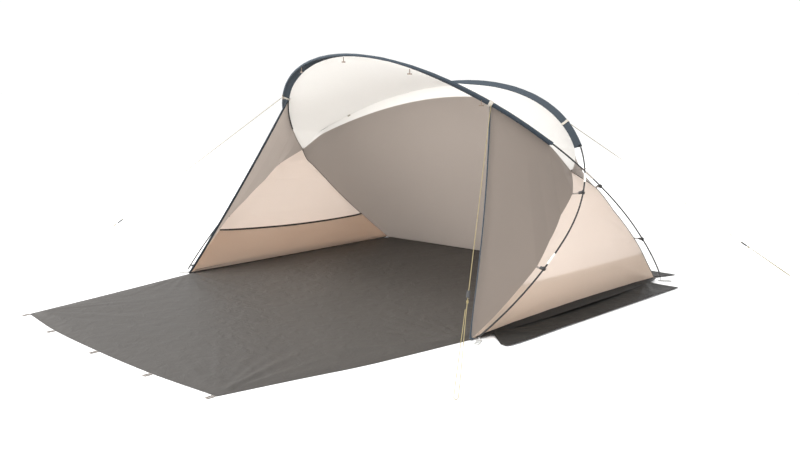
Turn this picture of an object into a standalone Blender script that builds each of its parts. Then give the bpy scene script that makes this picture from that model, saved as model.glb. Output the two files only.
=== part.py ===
"""A two-arch beach shelter: a tarp canopy on two crossing poles, with a floor, a porch flap and guy lines.

Metres, +Z up, +X to the right as seen from the open front, +Y towards the back.
The origin is the middle of the floor's underside, so everything stands on z = 0.
"""

import math

import bmesh
import bpy
import numpy as np
from mathutils import Vector

# Floor
HALF_WIDTH = 1.0
DEPTH = 1.64
FRONT_Y = -DEPTH / 2
REAR_Y = DEPTH / 2
REAR_HALF_WIDTH = 0.995
FABRIC = 0.002
FLOOR_INSET = 0.003

# Each arch is an upper and a lower quarter ellipse that meet at its widest point, in a leaning plane.
# Lengths along the plane: "widest" from the feet to the widest point, "rise" from there to the top,
# "tuck" the lower ellipse's own half axis. "bow" is how far the arch sags out of its plane.
# A place along an arch is 0 at its top and 1 at its foot. "seam_drops" says how far the fabric's seam
# hangs inside the pole: close at the sleeve and the clips, further in between them and at the crossing.
FRONT_ARCH = {
    "name": "front",
    "foot_y": REAR_Y + 0.015,
    "lean": math.radians(40.8),
    "heading": -1,
    "half_width": 1.100,
    "widest": 0.574,
    "rise": 1.270,
    "tuck": 1.617,
    "bow": 0.0315,
    "corner": (REAR_HALF_WIDTH, REAR_Y),
    "sleeve_end": 0.525,
    "clips": (0.668, 0.851),
    "guy": 0.375,
    "seam_tilt": math.radians(32),
    "seam_drops": [
        (0.000, 0.030),
        (0.525, 0.030),
        (0.610, 0.073),
        (0.668, 0.032),
        (0.755, 0.056),
        (0.851, 0.050),
        (0.930, 0.045),
        (1.000, 0.030),
    ],
}
REAR_ARCH = {
    "name": "rear",
    "foot_y": FRONT_Y - 0.005,
    "lean": math.radians(40.24),
    "heading": 1,
    "half_width": 1.138,
    "widest": 0.640,
    "rise": 1.010,
    "tuck": 1.468,
    "bow": 0.0343,
    "corner": (HALF_WIDTH, FRONT_Y),
    "sleeve_end": 0.475,
    "clips": (0.634, 0.839),
    "guy": 0.375,
    "seam_tilt": 0.0,
    "seam_drops": [
        (0.000, 0.030),
        (0.475, 0.030),
        (0.555, 0.073),
        (0.634, 0.052),
        (0.705, 0.078),
        (0.785, 0.066),
        (0.839, 0.040),
        (0.900, 0.040),
        (1.000, 0.030),
    ],
}
ARCH_STEPS = 80
POLE_RADIUS = 0.0039
POLE_CUT = 0.9875

# How near the poles' crossing, as a place, each seam starts to bend towards the fabric's crossing
CROSSING_SPREAD = 0.10

# Sleeves
SLEEVE_BORE = 0.0056
SLEEVE_RADIUS = 0.0076
SLEEVE_TAIL = 0.025
SLEEVE_SIDES = 10

# Panels
SEAM_MARGIN = 0.004
SHORTEST_ROW = 0.035
PANEL_SAG = 0.030
WING_END = 0.970
EDGE_START = 0.976
EDGE_MARGIN = 0.012
SIDE_END = 0.992
BACK_MARGIN = (0.0025, 0.006)
BACK_TAUTNESS = 400
POCKET_GAP = 0.016
POCKET_FRONT = 0.878
POCKET_REAR = 0.9025
POCKET_START = 0.095
POCKET_END = 0.980
POCKET_MARGIN = 0.030
POCKET_LIFT = 0.004
POCKET_BINDING = 0.080
BINDING_THICKNESS = 0.003

# Porch flap, as it lies: its outline from the right end of the fold line, round the front, to the left end
PORCH_OUTLINE = [
    (0.970, FRONT_Y - 0.002),
    (0.950, -1.180),
    (0.915, -1.400),
    (0.856, -1.650),
    (0.785, -1.978),
    (0.395, -1.985),
    (-0.020, -1.965),
    (-0.445, -1.925),
    (-0.805, -1.858),
    (-0.890, -1.350),
    (-0.970, FRONT_Y - 0.002),
]
PORCH_LOOPS = [(-0.800, -1.858), (-0.445, -1.925), (-0.020, -1.965), (0.395, -1.985), (0.775, -1.978)]
LOOP_OUTER = (0.010, 0.034)
LOOP_INNER = (0.005, 0.006, 0.028)
LOOP_GAP = 0.004

# Sand flaps. The left one is the right one's mirror image behind its front end, which is shorter.
SAND_FLAP_REAR = [(1.192, 0.500), (1.195, 0.700), (1.060, 0.640), (1.008, 0.660)]
SAND_FLAP_FRONT_RIGHT = [(1.008, -0.660), (1.090, -0.745), (1.142, -0.782), (1.178, -0.750)]
SAND_FLAP_FRONT_LEFT = [(1.008, -0.640), (1.090, -0.690), (1.142, -0.690), (1.178, -0.655)]
REAR_FLAP_OUTLINE = [(-0.975, REAR_Y + 0.012), (0.975, REAR_Y + 0.012), (1.035, 0.990), (-1.035, 0.990)]

# Guy lines: where each one ends on the ground, and how far up from there its runner sits
GUY_ENDS = {
    "front_left": (-1.585, -1.321),
    "front_right": (1.432, -1.439),
    "rear_left": (-1.512, 1.396),
    "rear_right": (1.512, 1.396),
}
GUY_RADIUS = 0.0015
GUY_START = 0.016
LOOP_SHARE = {"front": 0.28, "rear": 0.21}
LOOP_HALF_WIDTH = 0.008
LOOP_NECK = 0.0022
RUNNER_LENGTH = 0.034
RUNNER_WIDTH = 0.014
RUNNER_THICKNESS = 0.008
RUNNER_BORE = 0.0024

# Toggles along the front arch that hold the raised porch flap
TOGGLE_PLACES = (-0.355, -0.175, 0.0, 0.185, 0.355)
TOGGLE_DROP = 0.0145
TOGGLE_LENGTH = 0.024
TOGGLE_CORD = 0.003
TOGGLE_BAR = (0.024, 0.006)
TOGGLE_THICKNESS = 0.003

# Clips and feet
CLIP_BORE = 0.0052
CLIP_RADIUS = 0.0080
CLIP_WIDTH = 0.014
CLIP_MOUTH = math.radians(70)
CLIP_STEM = 0.014
CLIP_STEM_ANGLE = math.radians(20)
STRAP_WIDTH = 0.018
STRAP_INSET = 0.006
STRAP_CLEARANCE = 0.013
FOOT_TAB = (0.070, 0.024, 0.0025)
FOOT_TAB_BACK = 0.012
EYELET_START = 0.036
EYELET_RIM = 0.008
FOOT_PIN_RADIUS = 0.0024
TOUCH_GAP = 0.0004

COLOURS = {
    "white_fabric": ((0.86, 0.83, 0.78, 1.0), 0.75, 0.0),
    "grey_fabric": ((0.37, 0.32, 0.28, 1.0), 0.75, 0.0),
    "cream_fabric": ((0.79, 0.68, 0.58, 1.0), 0.75, 0.0),
    "beige_fabric": ((0.64, 0.49, 0.38, 1.0), 0.8, 0.0),
    "floor_sheet": ((0.10, 0.095, 0.088, 1.0), 0.55, 0.0),
    "slate_tape": ((0.06, 0.09, 0.125, 1.0), 0.8, 0.0),
    "dark_tape": ((0.03, 0.028, 0.026, 1.0), 0.85, 0.0),
    "pole": ((0.02, 0.02, 0.022, 1.0), 0.35, 0.0),
    "guy_line": ((0.74, 0.62, 0.33, 1.0), 0.7, 0.0),
    "black_plastic": ((0.02, 0.02, 0.02, 1.0), 0.4, 0.0),
    "grey_webbing": ((0.38, 0.38, 0.37, 1.0), 0.85, 0.0),
    "steel": ((0.62, 0.62, 0.62, 1.0), 0.3, 1.0),
}


def clear_scene():
    for obj in list(bpy.data.objects):
        bpy.data.objects.remove(obj, do_unlink=True)


def material(slot):
    found = bpy.data.materials.get(slot)
    if found:
        return found
    colour, roughness, metallic = COLOURS[slot]
    made = bpy.data.materials.new(slot)
    made.use_nodes = True
    shader = made.node_tree.nodes["Principled BSDF"]
    shader.inputs["Base Color"].default_value = colour
    shader.inputs["Roughness"].default_value = roughness
    shader.inputs["Metallic"].default_value = metallic
    made.diffuse_color = colour
    return made


def add_mesh(name, points, faces, slot, parent=None):
    """A closed mesh from world points; its faces are turned outwards, and its origin goes to its parent's."""
    origin = parent.location.copy() if parent else Vector()
    mesh = bpy.data.meshes.new(name)
    mesh.from_pydata([Vector(p) - origin for p in points], [], faces)
    shape = bmesh.new()
    shape.from_mesh(mesh)
    bmesh.ops.recalc_face_normals(shape, faces=shape.faces)
    shape.to_mesh(mesh)
    shape.free()
    mesh.materials.append(material(slot))
    mesh.shade_smooth()
    mesh.set_sharp_from_angle(angle=math.radians(40))
    obj = bpy.data.objects.new(name, mesh)
    bpy.context.scene.collection.objects.link(obj)
    if parent:
        obj.parent = parent
    return obj


def add_joint_empty(name, place):
    empty = bpy.data.objects.new(name, None)
    empty.location = Vector(place)
    bpy.context.scene.collection.objects.link(empty)
    return empty


def unit(vector):
    return vector / np.linalg.norm(vector)


def blend_in(share):
    """Smooth 0 to 1."""
    share = min(max(share, 0.0), 1.0)
    return share * share * (3 - 2 * share)


# The arches and the seams that follow them


def arch_point(arch, place):
    """The pole's centre: place is -1 at the left foot, 0 at the top and 1 at the right foot."""
    foot_angle = math.asin(arch["widest"] / arch["tuck"])
    angle = math.pi / 2 - abs(place) * (math.pi / 2 + foot_angle)
    half_axis = arch["rise"] if angle > 0 else arch["tuck"]
    along = arch["widest"] + half_axis * math.sin(angle)
    share = along / (arch["widest"] + arch["rise"])
    sag = 4 * arch["bow"] * share * (1 - share)
    run = along * math.cos(arch["lean"]) + sag * math.sin(arch["lean"])
    height = along * math.sin(arch["lean"]) - sag * math.cos(arch["lean"])
    side = math.copysign(arch["half_width"] * math.cos(angle), place)
    return np.array([side, arch["foot_y"] + arch["heading"] * run, height])


def arch_tangent(arch, place):
    step = 0.002
    return unit(arch_point(arch, min(place + step, 1.0)) - arch_point(arch, max(place - step, -1.0)))


def arch_inward(arch, place):
    """Square to the pole, towards the middle of the arch."""
    run = arch["widest"] * math.cos(arch["lean"])
    middle = np.array([0.0, arch["foot_y"] + arch["heading"] * run, arch["widest"] * math.sin(arch["lean"])])
    tangent = arch_tangent(arch, place)
    towards = middle - arch_point(arch, place)
    return unit(towards - tangent * np.dot(towards, tangent))


def plane_normal(arch):
    """Square to the arch's plane, on its upper side."""
    return np.array([0.0, -arch["heading"] * math.sin(arch["lean"]), math.cos(arch["lean"])])


def seam_side(arch, place):
    """The way a sleeve's tail points: towards the arch's middle, tilted to the roof near the top."""
    tilt = arch["seam_tilt"] * (1 - blend_in(abs(place) / arch["guy"]))
    return unit(math.cos(tilt) * arch_inward(arch, place) + math.sin(tilt) * plane_normal(arch))


def crossing_places():
    """Where the two arches pass closest on the right side, as a place on each."""
    fronts = np.linspace(0.55, 0.68, 131)
    rears = np.linspace(0.50, 0.62, 121)
    front_points = np.array([arch_point(FRONT_ARCH, p) for p in fronts])
    rear_points = np.array([arch_point(REAR_ARCH, p) for p in rears])
    gaps = np.linalg.norm(front_points[:, None] - rear_points[None], axis=2)
    row, column = np.unravel_index(gaps.argmin(), gaps.shape)
    return float(fronts[row]), float(rears[column])


FRONT_ARCH["crossing"], REAR_ARCH["crossing"] = crossing_places()


def seam_offset_point(arch, place):
    drop = float(np.interp(abs(place), *zip(*arch["seam_drops"])))
    return arch_point(arch, place) + drop * seam_side(arch, place)


def fabric_crossing(side):
    """Where the four panels meet inside the poles' crossing."""
    points = [seam_offset_point(arch, side * arch["crossing"]) for arch in (FRONT_ARCH, REAR_ARCH)]
    return (points[0] + points[1]) / 2


def seam_point(arch, place):
    """The fabric's seam, which follows the pole, meets the fabric's crossing and ends at the floor corner."""
    side = math.copysign(1.0, place)
    point = seam_offset_point(arch, place)
    nearness = blend_in(1 - abs(abs(place) - arch["crossing"]) / CROSSING_SPREAD)
    point = point + nearness * (fabric_crossing(side) - seam_offset_point(arch, side * arch["crossing"]))
    last_clip = arch["clips"][1]
    footness = blend_in((abs(place) - last_clip) / (1 - last_clip))
    corner = np.array([side * arch["corner"][0], arch["corner"][1], 0.0])
    return point + footness * (corner - seam_offset_point(arch, side))


def seam_between(arch, start, end):
    """A function from 0 to 1 that walks along the seam."""
    return lambda share: seam_point(arch, start + (end - start) * share)


# Shells


def ruled_grid(first, second, rows, columns, start=0.0, end=1.0, sag=None, margin=SEAM_MARGIN):
    """Points between two curves, kept a margin clear of both. Rows too short to hold a margin are left out.

    sag is the displacement at the patch's middle.
    """
    grid = []
    for share in np.linspace(start, end, rows):
        a = first(share)
        b = second(share)
        length = np.linalg.norm(b - a)
        if length < SHORTEST_ROW:
            continue
        edge = margin / length
        row = []
        for across in np.linspace(edge, 1 - edge, columns):
            point = a + (b - a) * across
            if sag is not None:
                point = point + sag * math.sin(math.pi * across) * math.sin(math.pi * share)
            row.append(point)
        grid.append(row)
    return np.array(grid)


def coons_grid(top, bottom, left, right, rows, columns, margin):
    """Points of the patch between four curves; left and right run from top to bottom."""
    grid = []
    for down in np.linspace(margin[1], 1 - margin[1], rows):
        row = []
        for across in np.linspace(margin[0], 1 - margin[0], columns):
            sides = (1 - across) * left(down) + across * right(down)
            ends = (1 - down) * top(across) + down * bottom(across)
            upper = (1 - across) * top(0.0) + across * top(1.0)
            lower = (1 - across) * bottom(0.0) + across * bottom(1.0)
            row.append(sides + ends - (1 - down) * upper - down * lower)
        grid.append(row)
    return np.array(grid)


def relaxed(grid, rounds):
    """The grid pulled taut between its fixed rim, as a stretched membrane."""
    grid = grid.copy()
    for _ in range(rounds):
        grid[1:-1, 1:-1] = (grid[:-2, 1:-1] + grid[2:, 1:-1] + grid[1:-1, :-2] + grid[1:-1, 2:]) / 4
    return grid


def grid_normals(grid):
    along = np.gradient(grid, axis=0)
    across = np.gradient(grid, axis=1)
    normals = np.cross(along, across)
    return normals / np.linalg.norm(normals, axis=2, keepdims=True)


def shell(name, grid, thickness, slot, parent=None):
    """A sheet of fabric with thickness, as one closed body."""
    rows, columns = grid.shape[:2]
    normals = grid_normals(grid)
    layers = [grid + normals * thickness / 2, grid - normals * thickness / 2]
    points = np.concatenate([layer.reshape(-1, 3) for layer in layers])
    below = rows * columns
    faces = []
    for i in range(rows - 1):
        for j in range(columns - 1):
            a, b = i * columns + j, i * columns + j + 1
            c, d = b + columns, a + columns
            faces += [(a, b, c), (a, c, d)]
            faces += [(below + c, below + b, below + a), (below + d, below + c, below + a)]
    rim = list(range(columns))
    rim += [i * columns + columns - 1 for i in range(1, rows)]
    rim += [(rows - 1) * columns + j for j in range(columns - 2, -1, -1)]
    rim += [i * columns for i in range(rows - 2, 0, -1)]
    for here, there in zip(rim, rim[1:] + rim[:1]):
        faces += [(there, here, below + here), (there, below + here, below + there)]
    return add_mesh(name, points.tolist(), faces, slot, parent)


def slab(name, outline, low, high, slot, parent=None):
    """A flat sheet from its outline, between two heights."""
    count = len(outline)
    points = [(x, y, high) for x, y in outline] + [(x, y, low) for x, y in outline]
    faces = [list(range(count)), list(range(2 * count - 1, count - 1, -1))]
    faces += [(i, i + count, (i + 1) % count + count, (i + 1) % count) for i in range(count)]
    return add_mesh(name, points, faces, slot, parent)


def mirrored(outline):
    return [(-x, y) for x, y in reversed(outline)]


def hollow(name, stations, outer, inner, slot, parent=None):
    """A body with a hole right through it. Each station is an origin and two directions for the outlines."""
    sides = len(outer)
    points = []
    for origin, first, second in stations:
        points += [origin + a * first + b * second for a, b in outer]
        points += [origin + a * first + b * second for a, b in inner]
    faces = []
    for k in range(len(stations) - 1):
        near, far = 2 * sides * k, 2 * sides * (k + 1)
        for i in range(sides):
            j = (i + 1) % sides
            faces.append((near + i, near + j, far + j, far + i))
            faces.append((near + sides + j, near + sides + i, far + sides + i, far + sides + j))
    last = 2 * sides * (len(stations) - 1)
    for i in range(sides):
        j = (i + 1) % sides
        faces.append((j, i, sides + i, sides + j))
        faces.append((last + i, last + j, last + sides + j, last + sides + i))
    return add_mesh(name, [tuple(p) for p in points], faces, slot, parent)


def prism(name, origin, first, second, axis, outline, width, slot, parent=None):
    """An outline in the plane of two directions, extruded along an axis about its middle."""
    count = len(outline)
    points = []
    for shift in (-width / 2, width / 2):
        points += [tuple(origin + a * first + b * second + shift * axis) for a, b in outline]
    faces = [list(range(count)), list(range(2 * count - 1, count - 1, -1))]
    faces += [(i, i + count, (i + 1) % count + count, (i + 1) % count) for i in range(count)]
    return add_mesh(name, points, faces, slot, parent)


def tube(name, points, radius, slot, resolution=2):
    curve = bpy.data.curves.new(name, "CURVE")
    curve.dimensions = "3D"
    curve.bevel_depth = radius
    curve.bevel_resolution = resolution
    curve.use_fill_caps = True
    curve.render_resolution_u = 0
    spline = curve.splines.new("POLY")
    spline.points.add(len(points) - 1)
    for target, point in zip(spline.points, points):
        target.co = (*point, 1.0)
    curve.materials.append(material(slot))
    obj = bpy.data.objects.new(name, curve)
    bpy.context.scene.collection.objects.link(obj)
    return obj


# The pieces


def add_pole(arch):
    places = [p for p in np.linspace(-1, 1, ARCH_STEPS + 1) if abs(p) < POLE_CUT]
    places = [-POLE_CUT] + places + [POLE_CUT]
    tube(arch["name"] + "_pole", [arch_point(arch, p) for p in places], POLE_RADIUS, "pole")


def add_sleeve(arch):
    """A fabric channel round the pole, with the tail that the panels are sewn to."""
    step = 2 / ARCH_STEPS
    count = round(arch["sleeve_end"] / step)
    stations = []
    for k in range(-count, count + 1):
        side = seam_side(arch, k * step)
        tangent = arch_tangent(arch, k * step)
        side = unit(side - tangent * np.dot(side, tangent))
        stations.append((arch_point(arch, k * step), side, np.cross(tangent, side)))
    turns = np.linspace(math.radians(55), math.radians(305), SLEEVE_SIDES - 2)
    outer = [(SLEEVE_RADIUS * math.cos(t), SLEEVE_RADIUS * math.sin(t)) for t in turns]
    outer += [(SLEEVE_TAIL, -FABRIC / 2), (SLEEVE_TAIL, FABRIC / 2)]
    turns = [math.radians(50 + 36 * i) for i in range(SLEEVE_SIDES)]
    inner = [(SLEEVE_BORE * math.cos(t), SLEEVE_BORE * math.sin(t)) for t in turns]
    hollow(arch["name"] + "_sleeve", stations, outer, inner, "slate_tape")


def add_roof():
    front = seam_between(FRONT_ARCH, -FRONT_ARCH["crossing"], FRONT_ARCH["crossing"])
    rear = seam_between(REAR_ARCH, -REAR_ARCH["crossing"], REAR_ARCH["crossing"])
    grid = ruled_grid(front, rear, 25, 6, sag=np.array([0.0, 0.0, -PANEL_SAG]))
    shell("roof_panel", grid, FABRIC, "white_fabric")


def add_back():
    top = seam_between(REAR_ARCH, -REAR_ARCH["crossing"], REAR_ARCH["crossing"])
    left = seam_between(FRONT_ARCH, -FRONT_ARCH["crossing"], -1.0)
    right = seam_between(FRONT_ARCH, FRONT_ARCH["crossing"], 1.0)
    corner = np.array([REAR_HALF_WIDTH, REAR_Y, 0.0])

    def bottom(share):
        return corner * np.array([2 * share - 1, 1.0, 0.0])

    grid = coons_grid(top, bottom, left, right, 9, 17, BACK_MARGIN)
    shell("back_panel", relaxed(grid, BACK_TAUTNESS), FABRIC, "grey_fabric")


def wing_edges(side):
    upper = seam_between(FRONT_ARCH, side * FRONT_ARCH["crossing"], side * FRONT_ARCH["guy"])
    lower = seam_between(REAR_ARCH, side * REAR_ARCH["crossing"], side * 1.0)
    return upper, lower


def add_wing(name, side):
    """The front wing, and the tape along its free edge from the guy point to the floor."""
    upper, lower = wing_edges(side)
    inwards = np.array([-side * PANEL_SAG * 0.5, PANEL_SAG * 0.3, 0.0])
    grid = ruled_grid(upper, lower, 11, 6, end=WING_END, sag=inwards)
    shell("wing_" + name, grid, FABRIC, "grey_fabric")
    edge = ruled_grid(upper, lower, 2, 9, start=EDGE_START, margin=EDGE_MARGIN)
    shell("edge_binding_" + name, edge, BINDING_THICKNESS, "slate_tape")


def side_edges(side, front_start, rear_start):
    front = seam_between(REAR_ARCH, side * front_start, side * 1.0)
    rear = seam_between(FRONT_ARCH, side * rear_start, side * 1.0)
    return front, rear


def add_side(name, side):
    """The side wall, the storage pocket inside its lower part, and the pocket's bound top edge."""
    front, rear = side_edges(side, REAR_ARCH["crossing"], FRONT_ARCH["crossing"])
    inwards = np.array([-side * PANEL_SAG, 0.0, 0.0])
    wall = ruled_grid(front, rear, 11, 8, end=SIDE_END, sag=inwards)
    shell("side_panel_" + name, wall, FABRIC, "cream_fabric")
    front, rear = side_edges(side, POCKET_FRONT, POCKET_REAR)
    shift = np.array([-side * (POCKET_GAP + PANEL_SAG), 0.0, POCKET_LIFT])
    pocket = ruled_grid(front, rear, 4, 8, start=POCKET_START, end=POCKET_END, margin=POCKET_MARGIN)
    shell("side_pocket_" + name, pocket + shift, FABRIC, "beige_fabric")
    binding = ruled_grid(front, rear, 2, 8, end=POCKET_BINDING, margin=POCKET_MARGIN)
    shell("pocket_binding_" + name, binding + shift, BINDING_THICKNESS, "dark_tape")


def add_floor():
    front, rear = HALF_WIDTH - FLOOR_INSET, REAR_HALF_WIDTH - FLOOR_INSET
    outline = [
        (front, FRONT_Y + FLOOR_INSET),
        (rear, REAR_Y - FLOOR_INSET),
        (-rear, REAR_Y - FLOOR_INSET),
        (-front, FRONT_Y + FLOOR_INSET),
    ]
    slab("groundsheet", outline, 0.0, FABRIC, "floor_sheet")
    slab("sand_flap_right", SAND_FLAP_FRONT_RIGHT + SAND_FLAP_REAR, 0.0, FABRIC, "floor_sheet")
    slab("sand_flap_left", mirrored(SAND_FLAP_FRONT_LEFT + SAND_FLAP_REAR), 0.0, FABRIC, "floor_sheet")
    slab("sand_flap_rear", REAR_FLAP_OUTLINE, 0.0, FABRIC, "floor_sheet")


def add_porch():
    """The flap in front of the floor, hinged along the fold, with a webbing loop at each toggle's place."""
    fold = add_joint_empty("porch_fold", (0.0, FRONT_Y, FABRIC / 2))
    slab("porch_flap", PORCH_OUTLINE, 0.0, FABRIC, "floor_sheet", fold)
    half, length = LOOP_OUTER
    outer = [(-half, 0.0), (half, 0.0), (half, length), (-half, length)]
    half, near, far = LOOP_INNER
    inner = [(-half, near), (half, near), (half, far), (-half, far)]
    across = np.array([1.0, 0.0, 0.0])
    ahead = np.array([0.0, -1.0, 0.0])
    for number, (x, y) in enumerate(PORCH_LOOPS, 1):
        stations = [(np.array([x, y - LOOP_GAP, z]), across, ahead) for z in (0.0, FABRIC)]
        hollow(f"porch_loop_{number}", stations, outer, inner, "grey_webbing", fold)


def guy_line(end):
    """Start, ground end, direction up the line, and a level direction across it."""
    arch = FRONT_ARCH if end.startswith("front") else REAR_ARCH
    side = 1 if end.endswith("right") else -1
    pole = arch_point(arch, side * arch["guy"])
    ground = np.array([*GUY_ENDS[end], GUY_RADIUS + 0.001])
    start = pole + GUY_START * unit(ground - pole)
    upwards = unit(start - ground)
    across = unit(np.cross(upwards, np.array([0.0, 0.0, 1.0])))
    return start, ground, upwards, across


def add_guy(end):
    """The line runs down to a long loop for a peg, and back up to the knot that closes the loop."""
    start, ground, upwards, across = guy_line(end)
    length = np.linalg.norm(start - ground)
    loop = length * LOOP_SHARE[end.split("_")[0]]
    knot = ground + upwards * loop
    points = [start + (knot - start) * share for share in np.linspace(0, 1, 18)]
    turn = ground + upwards * LOOP_HALF_WIDTH
    for share in np.linspace(0, 1, 10)[1:]:
        points.append(knot + (turn - knot) * share + across * LOOP_HALF_WIDTH * blend_in(share))
    for angle in np.linspace(0, math.pi, 9)[1:]:
        points.append(turn + LOOP_HALF_WIDTH * (across * math.cos(angle) - upwards * math.sin(angle)))
    for share in np.linspace(0, 1, 10)[1:-1]:
        gap = LOOP_HALF_WIDTH + (2 * LOOP_NECK - LOOP_HALF_WIDTH) * blend_in(share)
        points.append(turn + (knot - turn) * share - across * gap)
    tube("guy_" + end, points, GUY_RADIUS, "guy_line")
    middle = knot + upwards * (RUNNER_LENGTH / 2 + 0.006)
    slide = add_joint_empty("runner_slide_" + end, middle)
    stations = [
        (middle + upwards * shift, across, np.cross(upwards, across))
        for shift in (-RUNNER_LENGTH / 2, RUNNER_LENGTH / 2)
    ]
    wide, thick = RUNNER_WIDTH / 2, RUNNER_THICKNESS / 2
    outer = [(wide, -thick / 2), (wide, thick / 2), (wide / 2, thick), (-wide / 2, thick)]
    outer += [(-a, -b) for a, b in outer]
    turns = [math.radians(-22.5 + 45 * i) for i in range(8)]
    inner = [(RUNNER_BORE * math.cos(t), RUNNER_BORE * math.sin(t)) for t in turns]
    hollow("runner_" + end, stations, outer, inner, "black_plastic", slide)


def add_toggle(number, place):
    """A cord and a bar, hanging from the outer face of the front arch's sleeve."""
    top = arch_point(FRONT_ARCH, place) - TOGGLE_DROP * plane_normal(FRONT_ARCH)
    hinge = add_joint_empty(f"toggle_hinge_{number}", top)
    tangent = arch_tangent(FRONT_ARCH, place)
    across = unit(np.array([tangent[0], tangent[1], 0.0]))
    down = np.array([0.0, 0.0, -1.0])
    cord = TOGGLE_CORD / 2
    half, bar = (size / 2 for size in TOGGLE_BAR)
    top_edge, low_edge = TOGGLE_LENGTH - bar, TOGGLE_LENGTH + bar
    outline = [(-cord, 0.0), (cord, 0.0), (cord, top_edge), (half, top_edge)]
    outline += [(half, low_edge), (-half, low_edge), (-half, top_edge), (-cord, top_edge)]
    axis = np.cross(across, down)
    prism(f"toggle_{number}", top, across, down, axis, outline, TOGGLE_THICKNESS, "grey_webbing", hinge)


def add_clip(arch, name, place):
    """A C-shaped hook on the pole, with a stem towards the fabric."""
    tangent = arch_tangent(arch, place)
    inward = arch_inward(arch, place)
    second = np.cross(tangent, inward)
    turns = np.linspace(math.pi - CLIP_MOUTH / 2, CLIP_MOUTH / 2 - math.pi, 13)
    bare_turns = [t for t in turns if abs(t) >= CLIP_STEM_ANGLE]
    outer = [(CLIP_RADIUS * math.cos(t), CLIP_RADIUS * math.sin(t)) for t in bare_turns]
    half = len(outer) // 2
    root = CLIP_RADIUS * math.sin(CLIP_STEM_ANGLE)
    foot = [(CLIP_RADIUS + CLIP_STEM, root), (CLIP_RADIUS + CLIP_STEM, -root)]
    outer = outer[:half] + foot + outer[half:]
    inner = [(CLIP_BORE * math.cos(t), CLIP_BORE * math.sin(t)) for t in reversed(turns)]
    origin = arch_point(arch, place)
    prism(name, origin, inward, second, tangent, outer + inner, CLIP_WIDTH, "black_plastic")


def add_crossing_strap(name, side):
    """The tape from the fabric's crossing out to the poles' crossing."""
    fabric = fabric_crossing(side)
    arches = (FRONT_ARCH, REAR_ARCH)
    poles = sum(arch_point(arch, side * arch["crossing"]) for arch in arches) / 2
    outward = unit(poles - fabric)
    start = fabric + outward * STRAP_INSET
    end = poles - outward * STRAP_CLEARANCE
    up = unit(sum(arch_tangent(arch, side * arch["crossing"]) for arch in arches))
    edge = unit(up - outward * np.dot(up, outward)) * STRAP_WIDTH / 2
    grid = np.array([[start - edge, start + edge], [end - edge, end + edge]])
    shell("crossing_strap_" + name, grid, FABRIC, "grey_webbing")


def foot_tab(arch, side):
    """Where a foot's tab starts, and the way it runs: forwards at the front feet, out at the rear ones."""
    pole_end = arch_point(arch, side * POLE_CUT)
    way = np.array([side * 0.5, -1.0, 0.0]) if pole_end[1] < 0 else np.array([side * 1.0, 0.45, 0.0])
    return pole_end * np.array([1.0, 1.0, 0.0]) - unit(way) * FOOT_TAB_BACK, unit(way)


def add_foot(name, arch, side):
    """A webbing tab on the ground under the pole's end, with an eyelet for a peg and the pin in the pole."""
    base, outward = foot_tab(arch, side)
    across = np.array([-outward[1], outward[0], 0.0])
    length, width, thickness = FOOT_TAB
    stations = [(base + np.array([0.0, 0.0, z]), outward, across) for z in (0.0, thickness)]
    half, near, far = width / 2, EYELET_START, length - EYELET_RIM
    outer = [(0.0, -half), (length, -half), (length, half), (0.0, half)]
    inner = [(near, -half / 2), (far, -half / 2), (far, half / 2), (near, half / 2)]
    hollow("foot_webbing_" + name, stations, outer, inner, "grey_webbing")
    pole_end = arch_point(arch, side * POLE_CUT)
    low = thickness + TOUCH_GAP
    high = pole_end[2] - POLE_RADIUS - TOUCH_GAP
    turns = [math.radians(30 * i) for i in range(12)]
    outline = [(FOOT_PIN_RADIUS * math.cos(t), FOOT_PIN_RADIUS * math.sin(t)) for t in turns]
    middle = np.array([pole_end[0], pole_end[1], (low + high) / 2])
    x_way, y_way, z_way = np.eye(3)
    prism("foot_pin_" + name, middle, x_way, y_way, z_way, outline, high - low, "steel")


def main():
    clear_scene()
    add_floor()
    add_porch()
    for arch in (FRONT_ARCH, REAR_ARCH):
        add_pole(arch)
        add_sleeve(arch)
    add_roof()
    add_back()
    for name, side in (("left", -1), ("right", 1)):
        add_wing(name, side)
        add_side(name, side)
        add_crossing_strap(name, side)
        for arch, foot in ((FRONT_ARCH, "rear"), (REAR_ARCH, "front")):
            add_foot(f"{foot}_{name}", arch, side)
            for number, place in enumerate(arch["clips"], 1):
                add_clip(arch, f"clip_{arch['name']}_{name}_{number}", side * place)
    for end in GUY_ENDS:
        add_guy(end)
    for number, place in enumerate(TOGGLE_PLACES, 1):
        add_toggle(number, place)


main()
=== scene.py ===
"""The look of the two-arch beach shelter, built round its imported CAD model.

Metres, in the CAD's frame: +X right seen from the open front, +Y to the back, +Z up, floor on z = 0.
"""

import math

import bmesh
import bpy
import numpy as np
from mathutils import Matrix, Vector, noise


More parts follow.
